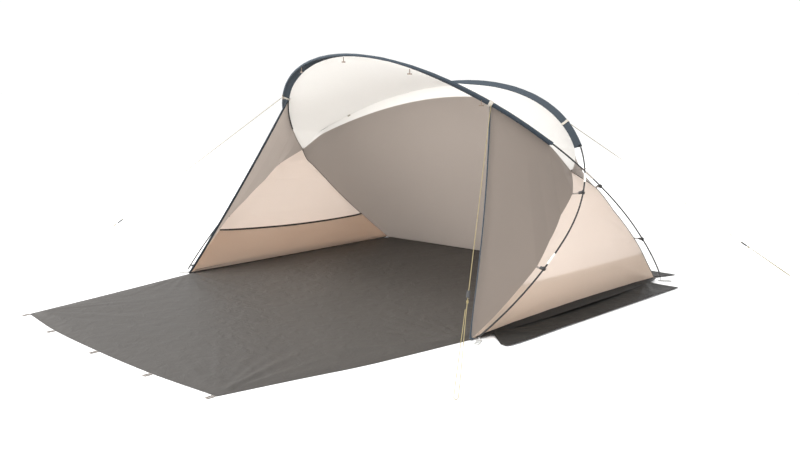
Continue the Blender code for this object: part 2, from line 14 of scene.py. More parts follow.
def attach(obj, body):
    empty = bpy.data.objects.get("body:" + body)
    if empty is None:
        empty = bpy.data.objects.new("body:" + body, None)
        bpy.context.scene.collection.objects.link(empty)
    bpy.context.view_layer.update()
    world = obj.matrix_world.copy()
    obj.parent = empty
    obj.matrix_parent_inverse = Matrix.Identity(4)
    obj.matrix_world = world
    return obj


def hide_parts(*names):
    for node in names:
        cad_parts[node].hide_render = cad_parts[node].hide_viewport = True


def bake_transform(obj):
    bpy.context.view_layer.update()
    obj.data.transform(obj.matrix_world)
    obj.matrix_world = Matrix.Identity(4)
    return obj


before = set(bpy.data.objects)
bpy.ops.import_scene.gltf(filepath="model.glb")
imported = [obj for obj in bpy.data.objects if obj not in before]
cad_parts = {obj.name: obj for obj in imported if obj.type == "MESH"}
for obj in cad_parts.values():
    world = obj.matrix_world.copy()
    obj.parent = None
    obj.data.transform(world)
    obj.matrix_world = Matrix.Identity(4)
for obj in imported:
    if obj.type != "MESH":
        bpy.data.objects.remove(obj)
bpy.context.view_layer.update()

# Camera
CAMERA_PLACE = Vector((3.483, -3.976, 1.147))
CAMERA_AZIMUTH = math.radians(42.37)
CAMERA_ELEVATION = math.radians(9.22)
LENS = 43.87

# Floor, as in the CAD
HALF_WIDTH = 1.0
FRONT_Y = -0.82
REAR_Y = 0.82
REAR_HALF_WIDTH = 0.995

# The two arches, as in the CAD. A place along an arch is 0 at its top and 1 at its foot.
FRONT_ARCH = {
    "name": "front",
    "foot_y": REAR_Y + 0.015,
    "lean": math.radians(40.8),
    "heading": -1,
    "half_width": 1.100,
    "widest": 0.574,
    "rise": 1.270,
    "tuck": 1.617,
    "bow": 0.0315,
    "corner": (REAR_HALF_WIDTH, REAR_Y),
    "sleeve_end": 0.525,
    "clips": (0.668, 0.851),
    "guy": 0.375,
    "seam_tilt": math.radians(32),
    "sleeve_tail": 0.036,
    "seam_drops": [
        (0.000, 0.030),
        (0.525, 0.030),
        (0.610, 0.073),
        (0.668, 0.032),
        (0.755, 0.056),
        (0.851, 0.050),
        (0.930, 0.045),
        (1.000, 0.030),
    ],
    "ferrules": [(0.612, 0.642)],
}
REAR_ARCH = {
    "name": "rear",
    "foot_y": FRONT_Y - 0.005,
    "lean": math.radians(40.24),
    "heading": 1,
    "half_width": 1.138,
    "widest": 0.640,
    "rise": 1.010,
    "tuck": 1.468,
    "bow": 0.0343,
    "corner": (HALF_WIDTH, FRONT_Y),
    "sleeve_end": 0.475,
    "clips": (0.634, 0.839),
    "guy": 0.375,
    "seam_tilt": 0.0,
    "sleeve_tail": 0.030,
    "seam_drops": [
        (0.000, 0.030),
        (0.475, 0.030),
        (0.555, 0.073),
        (0.634, 0.052),
        (0.705, 0.078),
        (0.785, 0.066),
        (0.839, 0.040),
        (0.900, 0.040),
        (1.000, 0.030),
    ],
    "ferrules": [(0.573, 0.602), (0.808, 0.830)],
}
POLE_END = 0.9875
CROSSING_SPREAD = 0.10
CLOTH_THICKNESS = 0.0008
PANEL_SAG = 0.030
POLE_RADIUS = 0.0039
FERRULE_RADIUS = 0.0052
SIDES = (("left", -1), ("right", 1))

# Cloth edges
ROOF_RETURN = 0.068
EDGE_HOLLOW = 0.022
EDGE_STEPS = 90
EDGE_TAPE_WIDTH = 0.020
LYING_HEIGHT = 0.0012

# The pockets' top edges, as places along the rear and the front arch
POCKET_FRONT = 0.878
POCKET_REAR = 0.9025
POCKET_EDGE = 0.004
POCKET_GAP = 0.004
POCKET_BELLY = 0.028

# Tapes, straps and seams
GROUNDSHEET_THICKNESS = 0.001
POCKET_TAPE_RADIUS = 0.005
REAR_SEAM_RADIUS = 0.0020
WING_SEAM_RADIUS = 0.0018
FLOOR_SEAM_RADIUS = 0.0042
STRAP_THICKNESS = 0.0012
CLIP_STRAP_WIDTH = 0.010
CROSSING_STRAP_WIDTH = 0.018
SLEEVE_RADIUS = 0.0068

# Guy lines, as in the CAD
GUY_ENDS = {
    "front_left": (-1.585, -1.321),
    "front_right": (1.432, -1.439),
    "rear_left": (-1.512, 1.396),
    "rear_right": (1.512, 1.396),
}
GUY_RADIUS = 0.0015
GUY_START = 0.016
LOOP_SHARE = {"front": 0.28, "rear": 0.21}
LOOP_HALF_WIDTH = 0.008
LOOP_NECK = 0.0022

# The guy lines' bands on the sleeves, the hoops on the bands, and the knots
BAND_WIDTH = 0.016
BAND_RADIUS = 0.0094
HOOP_RADIUS = 0.0045
HOOP_CORD_RADIUS = 0.0011
KNOT_CORD_RADIUS = 0.0013

# The porch flap's edges on the ground
PORCH_FRONT = [(-0.805, -1.858), (-0.445, -1.925), (-0.020, -1.965), (0.395, -1.985), (0.785, -1.978)]
PORCH_LEFT = [(-0.998, FRONT_Y), (-0.895, -1.350), (-0.805, -1.858)]
PORCH_RIGHT = [(0.998, FRONT_Y), (0.950, -1.180), (0.915, -1.400), (0.856, -1.650), (0.785, -1.978)]

# The front ends of the sand flaps' inner and outer edges
FLAP_FRONTS = {"right": ((1.006, -0.665), (1.142, -0.785)), "left": ((1.006, -0.645), (1.142, -0.695))}


# Vectors and curves


def unit(vector):
    return vector / np.linalg.norm(vector)


def blend_in(share):
    """Smooth 0 to 1."""
    share = np.clip(share, 0.0, 1.0)
    return share * share * (3 - 2 * share)


def arch_point(arch, place):
    """The middle of a pole: half an ellipse above its widest place and a fuller one below, bowed a little."""
    foot_angle = math.asin(arch["widest"] / arch["tuck"])
    angle = math.pi / 2 - abs(place) * (math.pi / 2 + foot_angle)
    half_axis = arch["rise"] if angle > 0 else arch["tuck"]
    along = arch["widest"] + half_axis * math.sin(angle)
    share = along / (arch["widest"] + arch["rise"])
    sag = 4 * arch["bow"] * share * (1 - share)
    run = along * math.cos(arch["lean"]) + sag * math.sin(arch["lean"])
    height = along * math.sin(arch["lean"]) - sag * math.cos(arch["lean"])
    side = math.copysign(arch["half_width"] * math.cos(angle), place)
    return np.array([side, arch["foot_y"] + arch["heading"] * run, height])


def arch_tangent(arch, place):
    step = 0.002
    return unit(arch_point(arch, min(place + step, 1.0)) - arch_point(arch, max(place - step, -1.0)))


def arch_inward(arch, place):
    """The way from a pole to the inside of its arch, in the arch's own plane."""
    run = arch["widest"] * math.cos(arch["lean"])
    middle = np.array([0.0, arch["foot_y"] + arch["heading"] * run, arch["widest"] * math.sin(arch["lean"])])
    tangent = arch_tangent(arch, place)
    towards = middle - arch_point(arch, place)
    return unit(towards - tangent * np.dot(towards, tangent))


def plane_normal(arch):
    """Upwards, square to the plane that an arch leans in."""
    return np.array([0.0, -arch["heading"] * math.sin(arch["lean"]), math.cos(arch["lean"])])


def seam_side(arch, place):
    """The way from a pole to the seam under it."""
    tilt = arch["seam_tilt"] * (1 - blend_in(abs(place) / arch["guy"]))
    return unit(math.cos(tilt) * arch_inward(arch, place) + math.sin(tilt) * plane_normal(arch))


def crossing_places():
    """Where the two arches pass closest to each other, as a place along each."""
    fronts = np.linspace(0.55, 0.68, 131)
    rears = np.linspace(0.50, 0.62, 121)
    front_points = np.array([arch_point(FRONT_ARCH, p) for p in fronts])
    rear_points = np.array([arch_point(REAR_ARCH, p) for p in rears])
    gaps = np.linalg.norm(front_points[:, None] - rear_points[None], axis=2)
    row, column = np.unravel_index(gaps.argmin(), gaps.shape)
    return float(fronts[row]), float(rears[column])


FRONT_ARCH["crossing"], REAR_ARCH["crossing"] = crossing_places()


def seam_offset_point(arch, place):
    """The seam before it is drawn to the crossing and to the floor's corner."""
    drop = float(np.interp(abs(place), *zip(*arch["seam_drops"])))
    return arch_point(arch, place) + drop * seam_side(arch, place)


def fabric_crossing(side):
    """Where the cloth's seams meet, under the poles' crossing."""
    points = [seam_offset_point(arch, side * arch["crossing"]) for arch in (FRONT_ARCH, REAR_ARCH)]
    return (points[0] + points[1]) / 2


def seam_point(arch, place):
    """A point of the seam that hangs from a pole, which ends in the floor's corner."""
    side = math.copysign(1.0, place)
    point = seam_offset_point(arch, place)
    nearness = blend_in(1 - abs(abs(place) - arch["crossing"]) / CROSSING_SPREAD)
    point = point + nearness * (fabric_crossing(side) - seam_offset_point(arch, side * arch["crossing"]))
    last_clip = arch["clips"][1]
    footness = blend_in((abs(place) - last_clip) / (1 - last_clip))
    corner = np.array([side * arch["corner"][0], arch["corner"][1], 0.0])
    return point + footness * (corner - seam_offset_point(arch, side))


def seam_between(arch, start, end):
    return lambda share: seam_point(arch, start + (end - start) * share)


def smooth_path(points, count):
    """Evenly shared points on a smooth curve through the given ones."""
    points = [np.array(p, float) for p in points]
    ends = [2 * points[0] - points[1]] + points + [2 * points[-1] - points[-2]]
    made = []
    for share in np.linspace(0, len(points) - 1, count):
        k = min(int(share), len(points) - 2)
        t = share - k
        a, b, c, d = ends[k : k + 4]
        made.append(
            0.5 * (2 * b + (c - a) * t + (2 * a - 5 * b + 4 * c - d) * t * t + (3 * b - a - 3 * c + d) * t**3)
        )
    return np.array(made)


def distances(path):
    """How far along a path each of its points lies."""
    steps = np.linalg.norm(np.diff(path, axis=0), axis=1)
    return np.concatenate([[0.0], np.cumsum(steps)])


# Meshes


def make_object(name, points, faces, uvs=None, smooth_angle=40):
    """A mesh piece; uvs holds one pair for each point, in metres of cloth."""
    mesh = bpy.data.meshes.new(name)
    mesh.from_pydata([tuple(p) for p in points], [], faces)
    mesh.update()
    if uvs is not None:
        layer = mesh.uv_layers.new(name="cloth")
        corners = np.zeros(len(mesh.loops), np.int32)
        mesh.loops.foreach_get("vertex_index", corners)
        layer.data.foreach_set("uv", np.asarray(uvs, np.float32)[corners].ravel())
    mesh.shade_smooth()
    mesh.set_sharp_from_angle(angle=math.radians(smooth_angle))
    obj = bpy.data.objects.new(name, mesh)
    bpy.context.scene.collection.objects.link(obj)
    return obj


def grid_normals(grid):
    """A unit normal at each point of a grid."""
    along = np.gradient(grid, axis=0)
    across = np.gradient(grid, axis=1)
    normals = np.cross(along, across)
    length = np.linalg.norm(normals, axis=2, keepdims=True)
    return normals / np.maximum(length, 1e-12)


def cloth_uv(grid):
    """Distances along the rows and columns, so that a weave keeps its size."""
    down = np.linalg.norm(np.diff(grid, axis=0), axis=2).mean(axis=1)
    along = np.concatenate([[0.0], np.cumsum(down)])
    rows = []
    for i, row in enumerate(grid):
        place = distances(row)
        rows.append(np.stack([place - place[-1] / 2, np.full(len(place), along[i])], axis=1))
    return np.array(rows)


def sheet_object(name, grid, thickness=CLOTH_THICKNESS):
    """A thin closed sheet of cloth from a grid of points."""
    rows, columns = grid.shape[:2]
    normals = grid_normals(grid)
    layers = [grid + normals * thickness / 2, grid - normals * thickness / 2]
    points = np.concatenate([layer.reshape(-1, 3) for layer in layers])
    uv = cloth_uv(grid).reshape(-1, 2)
    below = rows * columns
    faces = []
    for i in range(rows - 1):
        for j in range(columns - 1):
            a, b = i * columns + j, i * columns + j + 1
            c, d = b + columns, a + columns
            faces.append((a, d, c, b))
            faces.append((below + a, below + b, below + c, below + d))
    rim = list(range(columns))
    rim += [i * columns + columns - 1 for i in range(1, rows)]
    rim += [(rows - 1) * columns + j for j in range(columns - 2, -1, -1)]
    rim += [i * columns for i in range(rows - 2, 0, -1)]
    for here, there in zip(rim, rim[1:] + rim[:1]):
        faces.append((here, there, below + there, below + here))
    return make_object(name, points, faces, np.concatenate([uv, uv]))


def outward(obj):
    """Turns the faces outwards."""
    shape = bmesh.new()
    shape.from_mesh(obj.data)
    bmesh.ops.recalc_face_normals(shape, faces=shape.faces)
    shape.to_mesh(obj.data)
    shape.free()
    return obj


def ruled_grid(first, second, rows, columns, sag, start=0.0, end=1.0):
    """Straight rows from one edge to another, which sag towards the middle of the panel."""
    grid = []
    for share in np.linspace(start, end, rows):
        a = first(share)
        b = second(share)
        row = []
        for across in np.linspace(0, 1, columns):
            row.append(a + (b - a) * across + sag * math.sin(math.pi * across) * math.sin(math.pi * share))
        grid.append(row)
    return np.array(grid)


def coons_grid(top, bottom, left, right, rows, columns):
    """A smooth surface between four edges."""
    grid = []
    for down in np.linspace(0, 1, rows):
        row = []
        for across in np.linspace(0, 1, columns):
            sides = (1 - across) * left(down) + across * right(down)
            ends = (1 - down) * top(across) + down * bottom(across)
            upper = (1 - across) * top(0.0) + across * top(1.0)
            lower = (1 - across) * bottom(0.0) + across * bottom(1.0)
            row.append(sides + ends - (1 - down) * upper - down * lower)
        grid.append(row)
    return np.array(grid)


def relaxed(grid, rounds):
    """The grid pulled taut between its fixed rim, as a stretched membrane."""
    grid = grid.copy()
    for _ in range(rounds):
        grid[1:-1, 1:-1] = (grid[:-2, 1:-1] + grid[2:, 1:-1] + grid[1:-1, :-2] + grid[1:-1, 2:]) / 4
    return grid


def refined(coarse, fine):
    """The fine grid moved by what relaxing did to the coarse one, spread smoothly over it."""
    moved = relaxed(coarse, 400) - coarse
    rows = np.linspace(0, coarse.shape[0] - 1, fine.shape[0])
    columns = np.linspace(0, coarse.shape[1] - 1, fine.shape[1])
    shift = np.zeros_like(fine)
    for axis in range(3):
        down = np.array([np.interp(columns, range(coarse.shape[1]), row) for row in moved[..., axis]])
        shift[..., axis] = np.array([np.interp(rows, range(coarse.shape[0]), line) for line in down.T]).T
    return relaxed(fine + shift, 60)


def ripple(points, scale, seed):
    """Smooth noise from -1 to 1 at each point."""
    shape = points.shape[:-1]
    flat = points.reshape(-1, 3)
    offset = Vector((seed * 3.17, seed * 1.93, seed * 2.41))
    values = [noise.noise(Vector(p) * scale + offset) for p in flat]
    return np.array(values).reshape(shape)


def edge_fade(grid, share=0.08):
    """0 on the rim of a grid, 1 further in."""
    rows, columns = grid.shape[:2]
    i = np.linspace(0, 1, rows)
    j = np.linspace(0, 1, columns)
    down = blend_in(np.minimum(i, 1 - i) / share)
    across = blend_in(np.minimum(j, 1 - j) / share)
    return down[:, None] * across[None, :]


def creases(grid, origins, aim, spread, length, width, height, count, seed):
    """Tension folds that fan out from each origin towards the aim."""
    lift = np.zeros(grid.shape[:2])
    rng = np.random.default_rng(seed)
    for origin in origins:
        main = unit(aim - origin)
        normal = unit(np.cross(main, grid_normals(grid)[grid.shape[0] // 2, grid.shape[1] // 2]))
        for turn in np.linspace(-spread, spread, count):
            turn = turn + rng.uniform(-0.06, 0.06)
            way = unit(main * math.cos(turn) + normal * math.sin(turn))
            reach = length * rng.uniform(0.6, 1.1)
            size = height * rng.uniform(0.5, 1.0)
            away = grid - origin
            forward = away @ way
            apart = np.linalg.norm(away - forward[..., None] * way, axis=2)
            wide = width * (0.35 + 1.1 * np.clip(forward / reach, 0, 1))
            fade = blend_in(forward / 0.06) * blend_in(1 - forward / reach)
            lift += size * np.exp(-((apart / wide) ** 2)) * fade
    return lift


def displaced(grid, lift):
    return grid + grid_normals(grid) * lift[..., None]


def tube_faces(rings, sides):
    """Quads between neighbouring rings of points, and a cap on each end."""
    faces = []
    for near in range(0, (rings - 1) * sides, sides):
        for i in range(sides):
            j = (i + 1) % sides
            faces.append((near + i, near + j, near + sides + j, near + sides + i))
    last = (rings - 1) * sides
    return faces + [tuple(range(sides))[::-1], tuple(range(last, last + sides))]


def tube_object(name, path, radius, sides, radii=None):
    """A round tube along a path, closed at both ends."""
    path = np.array(path, float)
    tangents = np.gradient(path, axis=0)
    tangents /= np.linalg.norm(tangents, axis=1, keepdims=True)
    side = unit(np.cross(tangents[0], np.array([0.13, 0.31, 0.94])))
    points, uvs = [], []
    for k, (point, tangent, travelled) in enumerate(zip(path, tangents, distances(path))):
        side = unit(side - tangent * np.dot(side, tangent))
        other = np.cross(tangent, side)
        size = radius if radii is None else radii[k]
        for i in range(sides):
            angle = 2 * math.pi * i / sides
            points.append(point + size * (math.cos(angle) * side + math.sin(angle) * other))
            uvs.append((travelled, i / sides * 2 * math.pi * radius))
    return make_object(name, points, tube_faces(len(path), sides), uvs, smooth_angle=60)


# Materials

FOLD_STRENGTH = 0.6
WEAVE_STRENGTH = 0.35
WEAVE_DEPTH = 0.00015
THREAD_CONTRAST = 0.22
STITCH_LENGTH = 0.0045
STITCH_HALF_WIDTH = 0.0006


def node(tree, kind, inputs=None, **settings):
    """A shader node. Each input takes a value, or the output of another node, which is linked to it."""
    made = tree.nodes.new(kind)
    for key, value in settings.items():
        setattr(made, key, value)
    for key, value in (inputs or {}).items():
        if isinstance(value, bpy.types.NodeSocket):
            tree.links.new(value, made.inputs[key])
        else:
            made.inputs[key].default_value = value
    return made


def maths(tree, operation, *values):
    return node(tree, "ShaderNodeMath", dict(enumerate(values)), operation=operation).outputs[0]


def bump(tree, height, strength, distance, **others):
    inputs = {"Height": height, "Strength": strength, "Distance": distance, **others}
    return node(tree, "ShaderNodeBump", inputs).outputs[0]


def noise_texture(tree, scale, detail, **others):
    return node(tree, "ShaderNodeTexNoise", {"Scale": scale, "Detail": detail, **others}).outputs[0]


def new_material(name):
    material = bpy.data.materials.new(name)
    material.use_nodes = True
    tree = material.node_tree
    tree.nodes.clear()
    return material, tree


def weave_height(tree, cloth_place, pitch):
    """The over and under of a plain weave, from 0 to 1."""
    split = node(tree, "ShaderNodeSeparateXYZ", {0: cloth_place})
    turns = 2 * math.pi / pitch
    warp, weft = [maths(tree, "SINE", maths(tree, "MULTIPLY", split.outputs[k], turns)) for k in (0, 1)]
    return maths(tree, "MULTIPLY_ADD", maths(tree, "MULTIPLY", warp, weft), 0.5, 0.5)


def shade_mix(tree, factor, dark, light):
    """A colour between two, by a factor from 0 to 1. Each is a tuple, or the output of another node."""
    ends = [(*end, 1.0) if isinstance(end, tuple) else end for end in (dark, light)]
    return node(tree, "ShaderNodeMix", {0: factor, 6: ends[0], 7: ends[1]}, data_type="RGBA").outputs[2]


def scaled(colour, factor):
    return tuple(min(1.0, c * factor) for c in colour)


def principled(tree, inputs):
    return node(tree, "ShaderNodeBsdfPrincipled", inputs).outputs[0]


def surfaced(material, tree, shader):
    node(tree, "ShaderNodeOutputMaterial", {"Surface": shader})
    return material


def cloth_material(name, colour, roughness=0.75, glow=0.0, pitch=0.0011, mottle=0.06, crumple=0.0015,
                   crumple_scale=9.0, sheen=0.15, shine=0.35, second=None):
    """Woven cloth: thread pattern, uneven dye, fine crumples, and light coming through it.

    second is a colour taken where the mesh attribute "double" is 1: on the back a real strip of roof cloth,
    on the side walls painted shade of the pocket lining behind the cloth.
    """
    material, tree = new_material(name)
    uv = node(tree, "ShaderNodeUVMap", uv_map="cloth").outputs[0]
    place = node(tree, "ShaderNodeTexCoord").outputs["Object"]
    broad = noise_texture(tree, 2.3, 5.0, Vector=place)
    dye = shade_mix(tree, broad, scaled(colour, 1 - mottle), scaled(colour, 1 + mottle))
    if second is not None:
        # The second colour: the back's real roof-cloth strip, and on the side walls painted shade of the
        # lining behind them.
        roof_strip_and_lining_shade = node(tree, "ShaderNodeAttribute", attribute_name="double").outputs["Fac"]
        dye = shade_mix(tree, roof_strip_and_lining_shade, dye, second)
    threads = {0: THREAD_CONTRAST, 6: dye, 7: noise_texture(tree, 420.0, 2.0, Vector=uv)}
    woven = node(tree, "ShaderNodeMix", threads, data_type="RGBA", blend_type="MULTIPLY").outputs[2]
    tint = node(tree, "ShaderNodeHueSaturation", {"Value": 1.12, "Color": woven}).outputs[0]
    crumples = noise_texture(tree, crumple_scale, 6.0, Vector=place, Roughness=0.55, Distortion=0.6)
    folds = bump(tree, crumples, FOLD_STRENGTH, crumple)
    surface = bump(tree, weave_height(tree, uv, pitch), WEAVE_STRENGTH, WEAVE_DEPTH, Normal=folds)
    shader = principled(tree, {
        "Base Color": tint,
        "Roughness": maths(tree, "MULTIPLY_ADD", broad, 0.12, roughness - 0.06),
        "Sheen Weight": sheen,
        "Sheen Roughness": 0.5,
        "Specular IOR Level": shine,
        "Normal": surface,
    })
    if glow > 0:
        # Light crosses both faces of the sheet, so each face takes the square root of the tint.
        face_tint = node(tree, "ShaderNodeGamma", {"Color": tint, "Gamma": 0.5}).outputs[0]
        behind = node(tree, "ShaderNodeBsdfTranslucent", {"Color": face_tint, "Normal": surface}).outputs[0]
        shader = node(tree, "ShaderNodeMixShader", {0: glow, 1: shader, 2: behind}).outputs[0]
    return surfaced(material, tree, shader)


def webbing_material(name, colour, stitch, row, pitch=0.0016):
    """Ribbed tape with a row of stitches on each side of its middle. The cloth UV runs across and along."""
    material, tree = new_material(name)
    uv = node(tree, "ShaderNodeUVMap", uv_map="cloth").outputs[0]
    split = node(tree, "ShaderNodeSeparateXYZ", {0: uv})
    ribs = weave_height(tree, uv, pitch)
    in_row = maths(tree, "COMPARE", maths(tree, "ABSOLUTE", split.outputs[0]), row, STITCH_HALF_WIDTH)
    dash = maths(tree, "SINE", maths(tree, "MULTIPLY", split.outputs[1], 2 * math.pi / STITCH_LENGTH))
    stitched = maths(tree, "MULTIPLY", in_row, maths(tree, "GREATER_THAN", dash, -0.2))
    tape = shade_mix(tree, noise_texture(tree, 38.0, 4.0), scaled(colour, 0.82), scaled(colour, 1.22))
    return surfaced(material, tree, principled(tree, {
        "Base Color": shade_mix(tree, stitched, tape, stitch),
        "Roughness": 0.82,
        "Sheen Weight": 0.1,
        "Normal": bump(tree, maths(tree, "ADD", ribs, stitched), 0.5, 0.0003),
    }))


def hard_material(name, colour, roughness, metallic=0.0, wear=0.12):
    """Moulded plastic, coated rod or metal, with fine grain and rubbed patches."""
    material, tree = new_material(name)
    place = node(tree, "ShaderNodeTexCoord").outputs["Object"]
    rubbed = noise_texture(tree, 26.0, 6.0, Vector=place)
    grain = noise_texture(tree, 220.0, 3.0, Vector=place)
    return surfaced(material, tree, principled(tree, {
        "Base Color": shade_mix(tree, rubbed, scaled(colour, 1 - wear), scaled(colour, 1 + 3 * wear)),
        "Roughness": maths(tree, "MULTIPLY_ADD", grain, 0.18, roughness - 0.09),
        "Metallic": metallic,
        "Normal": bump(tree, grain, 0.4, 0.0001),
    }))


def cord_material(name, colour, tracer):
    """Braided line: slanting strands with a darker tracer."""
    material, tree = new_material(name)
    place = node(tree, "ShaderNodeTexCoord").outputs["Object"]
    strands = {"Vector": place, "Scale": 120.0, "Distortion": 1.2}
    braid = node(tree, "ShaderNodeTexWave", strands, wave_type="BANDS", bands_direction="DIAGONAL")
    braid = braid.outputs["Fac"]
    return surfaced(material, tree, principled(tree, {
        "Base Color": shade_mix(tree, braid, tracer, colour),
        "Roughness": 0.7,
        "Normal": bump(tree, braid, 0.6, 0.0004),
    }))


WHITE_COLOUR = (0.93, 0.91, 0.875)
CREAM_COLOUR = (0.84, 0.735, 0.655)
# Painted shade: the cream darkened where the pocket's lining lies behind the wall, seen through the cloth.
CREAM_LINING_SHADE = (0.77, 0.655, 0.555)
WHITE = cloth_material("roof_cloth", WHITE_COLOUR, glow=0.45, mottle=0.02)
GREY = cloth_material("grey_cloth", (0.355, 0.307, 0.271), glow=0.62, mottle=0.04)
BACK = cloth_material("back_cloth", (0.365, 0.317, 0.281), glow=0.53, mottle=0.04, second=WHITE_COLOUR)
CREAM = cloth_material("cream_cloth", CREAM_COLOUR, glow=0.49, mottle=0.03, second=CREAM_LINING_SHADE)
BEIGE = cloth_material("beige_cloth", (0.85, 0.725, 0.625), glow=0.70, mottle=0.04)
SHEET = cloth_material("floor_cloth", (0.052, 0.047, 0.042), shine=0.28, roughness=0.52, pitch=0.0018,
                       mottle=0.10, crumple=0.009, crumple_scale=15.0, sheen=0.0)
FLAP = cloth_material("flap_cloth", (0.021, 0.020, 0.018), shine=0.15, roughness=0.7, pitch=0.0016,
                      mottle=0.12, crumple=0.008, crumple_scale=18.0, sheen=0.0)
# Near black: painted shadow on the strip between the wall's hem and the sand flap.
SHADOWED_STRIP_BLACK = cloth_material("upstand_painted_shadow", (0.008, 0.008, 0.008), roughness=0.7, mottle=0.1, sheen=0.0)
SLEEVE = cloth_material("sleeve_cloth", (0.029, 0.041, 0.054), pitch=0.0014, mottle=0.1, crumple=0.002,
                        crumple_scale=22.0, sheen=0.0)
BINDING = webbing_material("edge_tape", (0.032, 0.045, 0.059), stitch=(0.08, 0.10, 0.13), row=0.008)
DARK_TAPE = webbing_material("dark_binding", (0.030, 0.027, 0.025), stitch=(0.09, 0.085, 0.08), row=0.006)
WEBBING = webbing_material("grey_tape", (0.40, 0.40, 0.385), stitch=(0.62, 0.62, 0.60), row=0.007)
STRAP = webbing_material("clip_strap", (0.20, 0.175, 0.155), stitch=(0.35, 0.31, 0.28), row=0.004)
TOGGLE = webbing_material("toggle_tape", (0.17, 0.13, 0.10), stitch=(0.40, 0.36, 0.30), row=0.004)
PALE_TAPE = webbing_material("pale_tape", (0.47, 0.43, 0.37), stitch=(0.60, 0.57, 0.51), row=0.007)
ROD = hard_material("fibreglass_rod", (0.016, 0.015, 0.015), 0.50)
FERRULE = hard_material("ferrule_metal", (0.80, 0.76, 0.70), 0.36, metallic=0.35, wear=0.05)
GREY_FERRULE = hard_material("ferrule_sleeve", (0.36, 0.33, 0.30), 0.5, metallic=0.2, wear=0.05)
PLASTIC = hard_material("moulded_plastic", (0.018, 0.018, 0.019), 0.42)
STEEL = hard_material("pin_steel", (0.60, 0.60, 0.60), 0.28, metallic=1.0)
LINE = cord_material("braided_line", (0.33, 0.27, 0.13), tracer=(0.21, 0.17, 0.08))


def finish_piece(obj, material, slot, *nodes):
    """Gives a piece its look and hides the CAD nodes that it stands for; slot is not used. It rides on the
    root body.
    """
    obj.data.materials.append(material)
    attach(obj, "root")
    if nodes:
        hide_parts(*nodes)


# The canopy


def add_roof():
    front = seam_between(FRONT_ARCH, -FRONT_ARCH["crossing"], FRONT_ARCH["crossing"])
    rear = seam_between(REAR_ARCH, -REAR_ARCH["crossing"], REAR_ARCH["crossing"])
    sag = np.array([0.0, 0.0, -PANEL_SAG])
    grid = ruled_grid(front, rear, rows=161, columns=49, start=0.002, end=0.998, sag=sag)
    guys = [grid[30, 0], grid[130, 0]]
    lift = 0.004 * ripple(grid, scale=2.6, seed=1)
    lift += creases(grid, guys, grid[80, 40], 0.6, length=0.55, width=0.020, height=0.0035, count=5, seed=3)
    roof = outward(sheet_object("roof_cloth", displaced(grid, lift * edge_fade(grid))))
    finish_piece(roof, WHITE, "white_fabric", "roof_panel")


def mark_double(obj, values):
    """Stores how far each grid point lies in the second colour, from 0 to 1, on both layers of a sheet: a
    second cloth on the back, painted shade of the lining on the side walls.
    """
    flat = np.asarray(values, np.float32).ravel()
    layer = obj.data.attributes.new("double", "FLOAT", "POINT")
    layer.data.foreach_set("value", np.concatenate([flat, flat]))


def split_rows(grid, count, parts):
    """The grid with each of its first rows split, so that a line of colour near its top is sharp."""
    places = np.concatenate([np.arange(0, count, 1 / parts), np.arange(count, len(grid))])
    low = np.minimum(places.astype(int), len(grid) - 2)
    share = (places - low)[:, None, None]
    return grid[low] * (1 - share) + grid[low + 1] * share


def add_back():
    """The back, with a strip of the roof's cloth along its top edge."""
    top = seam_between(REAR_ARCH, -REAR_ARCH["crossing"], REAR_ARCH["crossing"])
    left = seam_between(FRONT_ARCH, -FRONT_ARCH["crossing"], -1.0)
    right = seam_between(FRONT_ARCH, FRONT_ARCH["crossing"], 1.0)
    corner = np.array([REAR_HALF_WIDTH, REAR_Y, 0.002])

    def bottom(share):
        return corner * np.array([2 * share - 1, 1.0, 1.0])

    coarse = coons_grid(top, bottom, left, right, rows=21, columns=41)
    grid = refined(coarse, coons_grid(top, bottom, left, right, rows=81, columns=161))
    feet = [grid[-1, 0], grid[-1, -1]]
    tops = [grid[0, 0], grid[0, -1]]
    lift = 0.005 * ripple(grid, scale=2.2, seed=2)
    lift += creases(grid, feet, grid[30, 80], 0.5, length=0.9, width=0.025, height=0.004, count=5, seed=4)
    lift += creases(grid, tops, grid[60, 80], 0.5, length=0.8, width=0.022, height=0.003, count=4, seed=5)
    grid = split_rows(displaced(grid, lift * edge_fade(grid)), count=8, parts=6)
    back = outward(sheet_object("back_cloth", grid))
    columns = grid.shape[1]
    depths = np.stack([distances(grid[:, j]) for j in range(columns)], axis=1)
    strip = ROOF_RETURN * np.sin(np.pi * np.linspace(0, 1, columns)) ** 0.8
    mark_double(back, blend_in((strip[None, :] - depths) / 0.003 + 0.5))
    finish_piece(back, BACK, "grey_fabric", "back_panel")


def hollow_edge(grid, way):
    """Draws the last rows of a wing in, so that its free edge hangs in a shallow curve."""
    rows, columns = grid.shape[:2]
    near = np.linspace(0, 1, rows)[:, None] ** 3
    bend = np.sin(np.pi * np.linspace(0, 1, columns))[None, :]
    return grid + (near * bend)[..., None] * way * EDGE_HOLLOW


